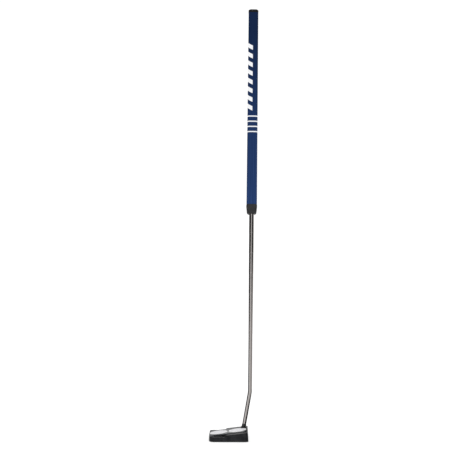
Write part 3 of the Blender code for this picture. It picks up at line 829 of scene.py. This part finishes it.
beyond = 10 * mm  # how far a cutter runs past the face that it opens
farOut = 60 * mm  # past the head on every side
screwPlaces = [
    (x, side * (sole["halfWidth"] - sole["screwInset"]))
    for x in (sole["frontX"] - sole["screwInset"], sole["rearX"] + sole["screwInset"])
    for side in (-1, 1)
]


def deckBlock(name, grow, low, high):
    front, rear = deck["frontX"] + grow, deck["rearX"] - grow
    half = deck["halfWidth"] + grow
    piece = addBlock(name, (rear + deck["bow"], -half, low), (front, half, high))
    edit(piece)
    # the rear edge is split, its middle drawn back, and the corners are rounded
    pick("EDGE", lambda edge: all(v.co.x < rear + 3 * mm for v in edge.verts) and not upright(edge))
    bpy.ops.mesh.subdivide(number_cuts=1)
    pick("VERT", lambda vert: abs(vert.co.y) < 1 * mm and vert.co.x < 0)
    bpy.ops.transform.translate(value=(-deck["bow"], 0, 0))
    roundCorners(
        (
            (lambda at: at.x > 0, deck["frontCorner"], 8),
            (lambda at: at.x < 0 and abs(at.y) > half - 1 * mm, deck["rearCorner"], 10),
            (lambda at: at.x < 0 and abs(at.y) < 1 * mm, deck["bowRound"], 8),
        )
    )
    leave()
    return put(piece, deckFrame)


def screwHole(at):
    radius, shank = screw["head"] + gap, screw["shank"] + gap
    profile = (
        (radius, -beyond),
        (radius, 0.1 * mm),
        (shank, screw["head"] - screw["shank"] + gap),
        (shank, screw["length"] + gap),
    )
    return put(turned("screwHole", profile, 32), Matrix.Translation((*at, 0)))


def topCutter():
    # all that lies above the shoulders, the step and the low rear flange
    far = head["frontX"] + beyond

    def shoulder(x):
        return deckFrame.translation.z - head["shoulderDrop"] + x * tan(deckLine["slope"])

    def lengthwise(edge):
        one, two = edge.verts
        return abs(one.co.y - two.co.y) < 1 * mm and not upright(edge)

    cutter = addBlock("topCutter", (-far, -farOut, head["flangeZ"]), (far, farOut, farOut))
    edit(cutter)
    # the underside is split twice and its lines drawn to the side profile
    pick("EDGE", lengthwise)
    bpy.ops.mesh.subdivide(number_cuts=2)
    for low, high, x, z in (
        (-far / 2, 0, head["flangeFrontX"], head["flangeZ"]),
        (0, far / 2, head["shoulderRearX"], shoulder(head["shoulderRearX"])),
        (far * 0.9, far * 1.1, far, shoulder(far)),
    ):
        pick("VERT", lambda vert: low < vert.co.x < high and vert.co.z < head["flangeZ"] + 1 * mm)
        bottom = bmesh.from_edit_mesh(cutter.data)
        for vert in [vert for vert in bottom.verts if vert.select]:
            vert.co.x, vert.co.z = x, z
        bmesh.update_edit_mesh(cutter.data)
    leave()
    return cutter


def rearPocket(side):
    inner, outer = sorted((side * head["coreHalfWidth"], side * head["flangeInnerY"]))
    low = (head["rearX"] - beyond, inner, head["pocketFloorZ"])
    high = (head["pocketFrontX"], outer, farOut)
    inFront = lambda at: at.x > head["taperX"]
    pocket = addBlock("rearPocket", low, high, ((inFront, head["pocketRound"], 8),))
    corner = Vector((head["taperX"], side * head["coreHalfWidth"]))
    # behind taperX the core narrows under the deck's round corner, so the pocket widens inwards
    edit(pocket)
    bpy.ops.mesh.select_all(action="SELECT")
    bpy.ops.mesh.bisect(plane_co=(head["taperX"], 0, 0), plane_no=(1, 0, 0))
    inside = head["coreHalfWidth"] + 1 * mm
    pick("VERT", lambda vert: vert.co.x < low[0] + 1 * mm and abs(vert.co.y) < inside)
    drawn = head["taper"] * (head["taperX"] - low[0])
    bpy.ops.transform.translate(value=(0, -side * drawn, 0))
    roundCorners(((lambda at: (at.xy - corner).length < 0.1 * mm, head["taperRound"], 5),))
    leave()
    return pocket


def makeHeadBody():
    print("head body")
    half, front, rear = head["width"] / 2, head["frontX"], head["rearX"]
    piece = addBlock(
        "headBody",
        (rear, -half, head["soleZ"]),
        (front + 1 * mm, half, head["blankTopZ"]),
        (
            (lambda at: at.x > 0, head["frontCorner"], 12),
            (lambda at: at.x < 0, head["rearCorner"], 14),
        ),
    )
    edit(piece)
    pick("EDGE", lambda edge: all(v.co.z < 1 * mm for v in edge.verts))
    bpy.ops.mesh.bevel(offset=head["soleRound"], segments=5, affect="EDGES")
    bpy.ops.mesh.select_all(action="SELECT")
    bpy.ops.mesh.bisect(plane_co=faceFoot, plane_no=faceNormal, clear_outer=True, use_fill=True)
    leave()
    cut(piece, topCutter())
    clean(piece)
    edit(piece)

    def rim(edge):
        # where the shoulders and the flange meet the side walls
        if len(edge.link_faces) != 2:
            return False
        steep = sorted(abs(f.normal.z) for f in edge.link_faces)
        return steep[0] < 0.3 and steep[1] > 0.6 and min(v.co.z for v in edge.verts) > 10 * mm

    pick("EDGE", rim)
    bpy.ops.mesh.bevel(offset=head["crown"], segments=4, affect="EDGES", clamp_overlap=True)
    leave()
    seat = deckBlock("deckSeat", deck["groove"], -deck["thickness"] - gap, 2 * beyond)
    cut(seat, addRound("padKeeper", hosel["padRadius"], -beyond, farOut, padAt.xy, 48))
    cut(piece, seat)
    # the boss's top is cut square to the shank
    low, high = (padAt.z + up for up in hosel["bossSpan"])
    boss = addRound("boss", hosel["bossRadius"], low, high, padAt.xy)
    edit(boss)
    top = padFrame @ Vector((0, 0, hosel["bossHeight"]))
    up = padFrame.to_3x3() @ Vector((0, 0, 1))
    bpy.ops.mesh.select_all(action="SELECT")
    bpy.ops.mesh.bisect(plane_co=top, plane_no=up, clear_outer=True, use_fill=True)
    leave()
    cut(piece, boss, operation="UNION")
    cut(piece, rearPocket(1), rearPocket(-1))
    reach, hollow = head["coreHalfWidth"] + 1 * mm, head["cavity"]
    low = (rear - beyond, -reach, head["pocketFloorZ"] + 0.05 * mm)
    cut(piece, addBlock("coreEnd", low, (head["coreRearX"], reach, farOut)))
    low = (hollow["rearX"], -hollow["halfWidth"], hollow["floorZ"])
    cut(piece, addBlock("cavity", low, (hollow["frontX"], hollow["halfWidth"], farOut)))
    cut(piece, put(facePlate("facePocket", gap, -face["pocket"], beyond), faceFrame))
    cut(piece, solePlateBlock("solePocket", gap, -beyond, sole["thickness"] + gap))
    bore = addRound("postBore", hosel["postRadius"] + gap, -hosel["boreDepth"], beyond, sides=48)
    cut(piece, put(bore, padFrame), *[screwHole(at) for at in screwPlaces])
    shelf = head["soleZ"] + weight["headDepth"] + 2 * weight["ring"] + 2 * gap
    profile = (
        (weight["head"] + gap, -beyond),
        (weight["head"] + gap, shelf),
        (weight["shank"] + gap, shelf),
        (weight["shank"] + gap, weight["topZ"] + gap),
    )
    for side in (-1, 1):
        port = turned("weightPort", profile)
        cut(piece, put(port, Matrix.Translation((weight["x"], side * weight["y"], 0))))
    clean(piece)
    edit(piece)

    def tip(edge):
        # the upright corner where a flange's inner wall runs out through the round rear corner
        at = middle(edge)
        near = abs(abs(at.y) - head["flangeInnerY"]) < 0.6 * mm
        return upright(edge) and at.x < rear + 6 * mm and near

    pick("EDGE", tip)
    bpy.ops.mesh.bevel(offset=head["tipRound"], segments=5, affect="EDGES", clamp_overlap=True)
    leave()
    soften(piece, head["edge"])
    hand(piece, ["head_body"], headBlack)


def facePlate(name, grow, low, high):
    half = face["halfLength"] + grow
    radius = (face["high"] - face["low"]) / 2 - 0.5 * mm
    low, high = (-half, face["low"] - grow, low), (half, face["high"] + grow, high)
    return addBlock(name, low, high, ((lambda at: True, radius, 8),))


def solePlateBlock(name, grow, low, high):
    half = sole["halfWidth"] + grow
    low, high = (sole["rearX"] - grow, -half, low), (sole["frontX"] + grow, half, high)
    return addBlock(name, low, high, ((lambda at: True, sole["corner"], 8),))


def makeDeck():
    print("deck and discs")
    plate = deckBlock("deckPlate", 0, -deck["thickness"], 0)
    for x in disc["places"].values():
        recess = addRound("recess", disc["radius"] + gap, -disc["depth"], beyond, (x, 0), 96)
        cut(plate, put(recess, deckFrame))
    cut(plate, addRound("hoselNotch", hosel["padRadius"] + gap, -beyond, farOut, padAt.xy))
    clean(plate)
    soften(plate, deck["edge"])
    hand(plate, ["deck_plate"], deckGrey)

    # one disc: a faintly domed face inside a fine moulded ring
    radius, low, dome = disc["radius"], -disc["depth"] + gap, disc["dome"]
    profile = (
        (radius - 0.3 * mm, low),
        (radius, low + 0.3 * mm),
        (radius, -0.25 * mm),
        (radius - 0.15 * mm, 0),
        (radius - 0.5 * mm, 0.08 * mm),
        (radius - 1.3 * mm, 0.08 * mm),
        (radius - 1.45 * mm, -0.02 * mm),
        (radius - 1.7 * mm, -0.02 * mm),
        (radius - 1.85 * mm, 0.09 * mm),
        (radius * 0.75, dome * 0.7),
        (radius * 0.45, dome * 0.9),
        (radius * 0.15, dome),
    )
    pattern = turned("discPattern", profile, 96)
    for name, x in disc["places"].items():
        place = deckFrame @ Matrix.Translation((x, 0, 0))
        piece = hand(twin(pattern, name + "Disc", place), [name + "_disc"], discWhite)
        # the outer band of each disc takes the brighter rim white, a painted highlight along its
        # rim
        piece.data.materials.append(rimHighlightWhite)
        for facet in piece.data.polygons:
            outward = facet.center - place.translation
            facet.material_index = int(outward.length > radius - disc["rim"])
    bpy.data.objects.remove(pattern)


def makeFace():
    print("face insert")
    piece = facePlate("faceInsert", 0, -face["thickness"], 0)
    halfway = (face["low"] + face["high"]) / 2
    first = halfway - face["groovePitch"] * (face["grooves"] - 1) / 2
    for k in range(face["grooves"]):
        # the outer lines are a little shorter, to follow the insert's round ends
        up = first + k * face["groovePitch"]
        reach = face["halfLength"] - face["grooveInset"] - abs(up - halfway) * face["grooveTaper"]
        half = face["grooveWidth"] / 2
        low, high = (-reach, up - half, -face["grooveDepth"]), (reach, up + half, beyond)
        cut(piece, addBlock("groove", low, high, ((lambda at: True, half * 0.95, 3),)))
    clean(piece)
    soften(piece, face["edge"])
    hand(put(piece, faceFrame), ["face_insert"], insertGrey)


def makeSole():
    print("sole plate and screws")
    piece = solePlateBlock("solePlate", 0, 0, sole["thickness"])
    cut(piece, *[screwHole(at) for at in screwPlaces])
    clean(piece)
    soften(piece, sole["edge"])
    hand(piece, ["sole_plate"], stainless)

    # one countersunk screw with a hexagon socket
    profile = (
        (screw["head"] - 0.25 * mm, 0),
        (screw["head"], 0.12 * mm),
        (screw["shank"], screw["head"] - screw["shank"]),
        (screw["shank"], screw["length"] - 0.4 * mm),
        (screw["shank"] - 0.35 * mm, screw["length"]),
    )
    pattern = turned("screwPattern", profile, 40)
    cut(pattern, addRound("drive", screw["drive"], -beyond, screw["driveDepth"], sides=6))
    for i, at in enumerate(screwPlaces, 1):
        place = Matrix.Translation((*at, 0)) @ Matrix.Rotation(screw["turn"] * i, 4, "Z")
        piece = twin(pattern, f"soleScrew{i}", place)
        hand(piece, [f"sole_screw_{i}"], oxide)
    bpy.data.objects.remove(pattern)


def sealRing(name, centre, height, radius, steps=12):
    # a round cord bent to a ring and pressed a little flat, with the fine flash line of its mould
    profile = []
    for k in range(steps):
        angle = 2 * pi * k / steps
        profile.append((centre + radius * cos(angle), height + 0.94 * radius * sin(angle)))
    profile[0] = (profile[0][0] + 0.03 * mm, profile[0][1])
    return turned(name, profile, 64, ring=True)


def makeWeights():
    print("sole weights")
    radius, shank, low = weight["head"], weight["shank"], head["soleZ"]
    shelf = low + weight["headDepth"]
    # a fine ring is turned in the head, between its socket and its edge
    profile = (
        (radius * 0.5, low),
        (radius * 0.66, low),
        (radius * 0.68, low + 0.15 * mm),
        (radius * 0.73, low + 0.15 * mm),
        (radius * 0.75, low),
        (radius - 0.4 * mm, low),
        (radius, low + 0.4 * mm),
        (radius, shelf),
        (shank, shelf),
        (shank, weight["topZ"] - 0.5 * mm),
        (shank - 0.5 * mm, weight["topZ"]),
    )
    pattern = turned("weightPattern", profile)
    cut(pattern, addRound("drive", weight["drive"], -beyond, low + weight["driveDepth"], sides=6))
    cord = weight["ring"]
    ring = sealRing("ringPattern", weight["ringCentre"], shelf + gap + cord, cord)
    for name, side in (("toe", -1), ("heel", 1)):
        place = Matrix.Translation((weight["x"], side * weight["y"], 0))
        steel = latheSteel(name + "WeightSteel", place)
        piece = twin(pattern, name + "Weight", place)
        hand(piece, [name + "_weight"], steel, name + "_weight")
        seal = twin(ring, name + "WeightRing", place)
        hand(seal, [name + "_weight_ring"], rubber, name + "_weight")
    bpy.data.objects.remove(pattern)
    bpy.data.objects.remove(ring)


makeHeadBody()
makeDeck()
makeFace()
makeSole()
makeWeights()

# Hosel and shaft

ferrule = {
    "foot": 2.7 * mm,
    "height": 6.6 * mm,
    "radius": 5.3 * mm,
    "bore": 4.1 * mm,
    "groove": 0.18 * mm,
    "ringsAt": (1.6 * mm, 3 * mm),
}
shaft = {
    "tip": 4.7 * mm,
    "rise": 0.18 * mm,
    "firstStep": 253 * mm,
    "pitch": 50 * mm,
    "steps": 14,
    "stepLength": 1.5 * mm,
    "end": 1058.4 * mm,
    "wall": 0.5 * mm,
    "sides": 64,
    "bendSteps": 12,
}


def makeFerrule():
    print("ferrule")
    low, radius, groove = ferrule["foot"], ferrule["radius"], ferrule["groove"]
    top = low + ferrule["height"]
    profile = [(ferrule["bore"], low), (radius - 0.2 * mm, low), (radius, low + 0.2 * mm)]
    for up in ferrule["ringsAt"]:
        # two fine turned rings round the foot
        profile += [
            (radius, low + up),
            (radius - groove, low + up + 0.15 * mm),
            (radius - groove, low + up + 0.35 * mm),
            (radius, low + up + 0.5 * mm),
        ]
    profile += [
        (radius, top - 1.4 * mm),
        (radius - 0.15 * mm, top - 0.7 * mm),
        (radius - 0.35 * mm, top - 0.2 * mm),
        (radius - 0.5 * mm, top),
        (ferrule["bore"], top),
    ]
    piece = put(turned("ferruleSleeve", profile, 64, ring=True), padFrame)
    hand(piece, ["ferrule"], acetate, sharp=30)


def makeShaft():
    print("shaft")
    bendAt, angle, bendRadius = shaftLine["bendAt"], shaftLine["bendAngle"], shaftLine["bendRadius"]
    reach = bendRadius * tan(angle / 2)
    bpy.ops.object.select_all(action="DESELECT")
    # the tip's circle lies square to the shank, which leans back under the bend
    turn = Matrix.Translation((0, 0, bendAt)) @ Matrix.Rotation(angle, 4, "Y")
    bpy.ops.mesh.primitive_circle_add(
        vertices=shaft["sides"],
        radius=shaft["tip"],
        location=turn @ Vector((0, 0, shaftLine["tipAt"])),
        rotation=(0, angle, 0),
    )
    piece = named("shaftTube")
    edit(piece)
    bpy.ops.mesh.select_mode(type="EDGE")
    bpy.ops.mesh.select_all(action="SELECT")
    along = turn.to_3x3() @ Vector((0, 0, -shaftLine["tipAt"] - reach))
    bpy.ops.mesh.extrude_region_move(TRANSFORM_OT_translate={"value": along})
    # the spin operator turns clockwise about its axis
    height, radius = bendAt + reach, shaft["tip"]
    bpy.ops.mesh.spin(
        steps=shaft["bendSteps"],
        angle=angle,
        center=(-bendRadius, 0, height),
        axis=(0, 1, 0),
        use_auto_merge=False,
    )

    def pull(to, newRadius):
        scale = newRadius / radius
        drawUp(to - height, (scale, scale, 1), (0, 0, to))
        return to, newRadius

    for k in range(shaft["steps"]):
        # a drawn step: a short ramp between two small rounds
        at = shaft["firstStep"] + k * shaft["pitch"]
        new = shaft["tip"] + (k + 1) * shaft["rise"]
        for share, part in ((0, 0), (0.25, 0.12), (0.5, 0.5), (0.75, 0.88), (1, 1)):
            up = at + share * shaft["stepLength"]
            height, radius = pull(up, new - shaft["rise"] * (1 - part))
    height, radius = pull(shaft["end"], radius)
    leave()
    modify(piece, "SOLIDIFY", thickness=shaft["wall"], offset=-1, use_rim=True)
    edit(piece)
    bpy.ops.mesh.select_all(action="SELECT")
    bpy.ops.mesh.normals_make_consistent(inside=False)
    leave()
    hand(put(piece, shaftFrame), ["shaft"], chrome, sharp=30)


makeFerrule()
makeShaft()

# Grip

grip = {
    "front": 12 * mm,
    "back": 15 * mm,
    "frontCorner": 5.5 * mm,
    "sleeve": ((573.7, 25.6), (640, 25.2), (760, 24.4), (900, 23.9), (1059.1, 23.9)),
    "skin": 1.6 * mm,
    "edge": 0.3 * mm,
}
collar = {
    "foot": 551.4 * mm,
    "section": 25.6 * mm,
    "stations": (
        (0, 20.8),
        (0.35, 21.5),
        (1.2, 22.5),
        (2.6, 23.2),
        (5, 23.9),
        (8.5, 24.7),
        (12.2, 25.4),
        (15.4, 26.05),
        (17.7, 26.4),
        (19.4, 26.4),
        (20.8, 26.15),
        (21.6, 25.8),
        (22, 25.4),
    ),
    "bore": 6.4 * mm,
}
cap = {
    "foot": 1059.4 * mm,
    "section": 23.9 * mm,
    "stations": (
        (0, 23.7),
        (0.5, 24.4),
        (1.0, 24.6),
        (3.8, 24.6),
        (4.8, 24.1),
        (5.6, 23.3),
        (6.3, 22.1),
        (6.85, 20.7),
        (7.25, 19.3),
        (7.5, 18.2),
        (7.58, 17.7),
    ),
    "bore": 8.4 * mm,
    "edge": 0.2 * mm,
}
slug = {
    "low": 1061.8 * mm,
    "head": 7.9 * mm,
    "headHeight": 4.8 * mm,
    "shank": 4.7 * mm,
    "length": 55 * mm,
    "ring": 0.5 * mm,
    "ringCentre": 6.4 * mm,
    "ringAt": 1061.0 * mm,
}


def dShape(name, stations, shrink=0.0):
    # the D section, flat at the thumbs and round at the palm, drawn up through (height, width)
    height, width = stations[0]
    half = width / 2 - shrink
    low, high = -grip["front"] + shrink, grip["back"] - shrink
    start = 0.2 * mm
    piece = addBlock(
        name,
        (-half, low, height),
        (half, high, height + start),
        (
            (lambda at: at.y < 0, grip["frontCorner"] - shrink / 2, 10),
            (lambda at: at.y > 0, half - 0.4 * mm, 18),
        ),
    )
    edit(piece)
    pick("FACE", lambda f: f.normal.z > 0.9)
    height += start
    for up, wide in stations[1:]:
        scale = (wide - 2 * shrink) / (width - 2 * shrink)
        drawUp(up - height, (scale, 1, 1), (0, 0, up))
        height, width = up, wide
    leave()
    return piece


def offsetShape(name, foot, stations, fullWidth):
    # a D section that grows and shrinks evenly all round
    halfway = (grip["back"] - grip["front"]) / 2
    depth = grip["back"] + grip["front"]
    piece = dShape(name, ((foot, fullWidth), (foot + 0.3 * mm, fullWidth)))
    edit(piece)
    pick("FACE", lambda f: f.normal.z < 0.9)
    bpy.ops.mesh.delete(type="FACE")
    pick("EDGE", lambda e: True)

    def share(width):
        # of the whole section, across and from front to back
        return Vector((width / fullWidth, (depth - (fullWidth - width)) / depth, 1))

    height, width = stations[0]
    shift = foot + height - max(v.co.z for v in bmesh.from_edit_mesh(piece.data).verts)
    bpy.ops.transform.translate(value=(0, 0, shift))
    bpy.ops.transform.resize(value=share(width), center_override=(0, halfway, foot + height))
    for up, wide in stations[1:]:
        old, new = share(width), share(wide)
        drawUp(up - height, (new.x / old.x, new.y / old.y, 1), (0, halfway, foot + up))
        height, width = up, wide
    leave()
    return piece


def makeGrip():
    print("grip sleeve")
    stations = [[at * mm, width * mm] for at, width in grip["sleeve"]]
    piece = dShape("gripSleeve", stations)
    stations[0][0] -= beyond
    stations[-1][0] += beyond
    cut(piece, dShape("sleeveBore", stations, grip["skin"]))
    clean(piece)
    soften(piece, grip["edge"], angle=50)
    hand(put(piece, shaftFrame), ["grip_sleeve"], navy)


def makeCollar():
    print("collar")
    stations = [(up * mm, width * mm) for up, width in collar["stations"]]
    foot = collar["foot"]
    piece = offsetShape("gripCollar", foot, stations, collar["section"])
    cut(piece, addRound("collarBore", collar["bore"], foot - beyond, foot + 4 * beyond))
    hand(put(piece, shaftFrame), ["grip_collar"], collarRubber)


def makeCap():
    print("butt cap")
    stations = [(up * mm, width * mm) for up, width in cap["stations"]]
    foot = cap["foot"]
    piece = offsetShape("buttCap", foot, stations, cap["section"])
    cut(piece, addRound("capBore", cap["bore"], foot - beyond, foot + 2 * beyond))
    soften(piece, cap["edge"], angle=50)
    hand(put(piece, shaftFrame), ["butt_cap"], capAbs)


def makeCounterweight():
    print("counterweight")
    low, top = slug["low"], slug["low"] + slug["headHeight"]
    radius, shank = slug["head"], slug["shank"]
    profile = (
        (shank - 0.6 * mm, low - slug["length"]),
        (shank, low - slug["length"] + 0.6 * mm),
        (shank, low),
        (radius - 0.2 * mm, low),
        (radius, low + 0.2 * mm),
        (radius, top - 0.5 * mm),
        (radius - 0.5 * mm, top),
        (radius * 0.74, top),
        (radius * 0.72, top - 0.2 * mm),
        (radius * 0.66, top - 0.2 * mm),
        (radius * 0.64, top),
        (radius * 0.4, top),
    )
    piece = turned("buttCounterweight", profile)
    low = top - weight["driveDepth"]
    cut(piece, addRound("drive", weight["drive"], low, top + beyond, sides=6))
    steel = latheSteel("counterweightSteel", shaftFrame)
    hand(put(piece, shaftFrame), ["counterweight"], steel, "counterweight")
    ring = sealRing("counterweightRing", slug["ringCentre"], slug["ringAt"], slug["ring"])
    hand(put(ring, shaftFrame), ["counterweight_ring"], rubber, "counterweight")


makeGrip()
makeCollar()
makeCap()
makeCounterweight()

# Pieces of the frame that stay as they are, inside the others

print("hidden pieces")
for node, material in (
    ("insert_backing", foam),
    ("hosel_post", postSteel),
    ("grip_tape", crepe),
    ("grip_core", eva),
    ("butt_insert", nylon),
):
    slots = frame["nodes"][node].data.materials
    slots.clear()
    slots.append(material)
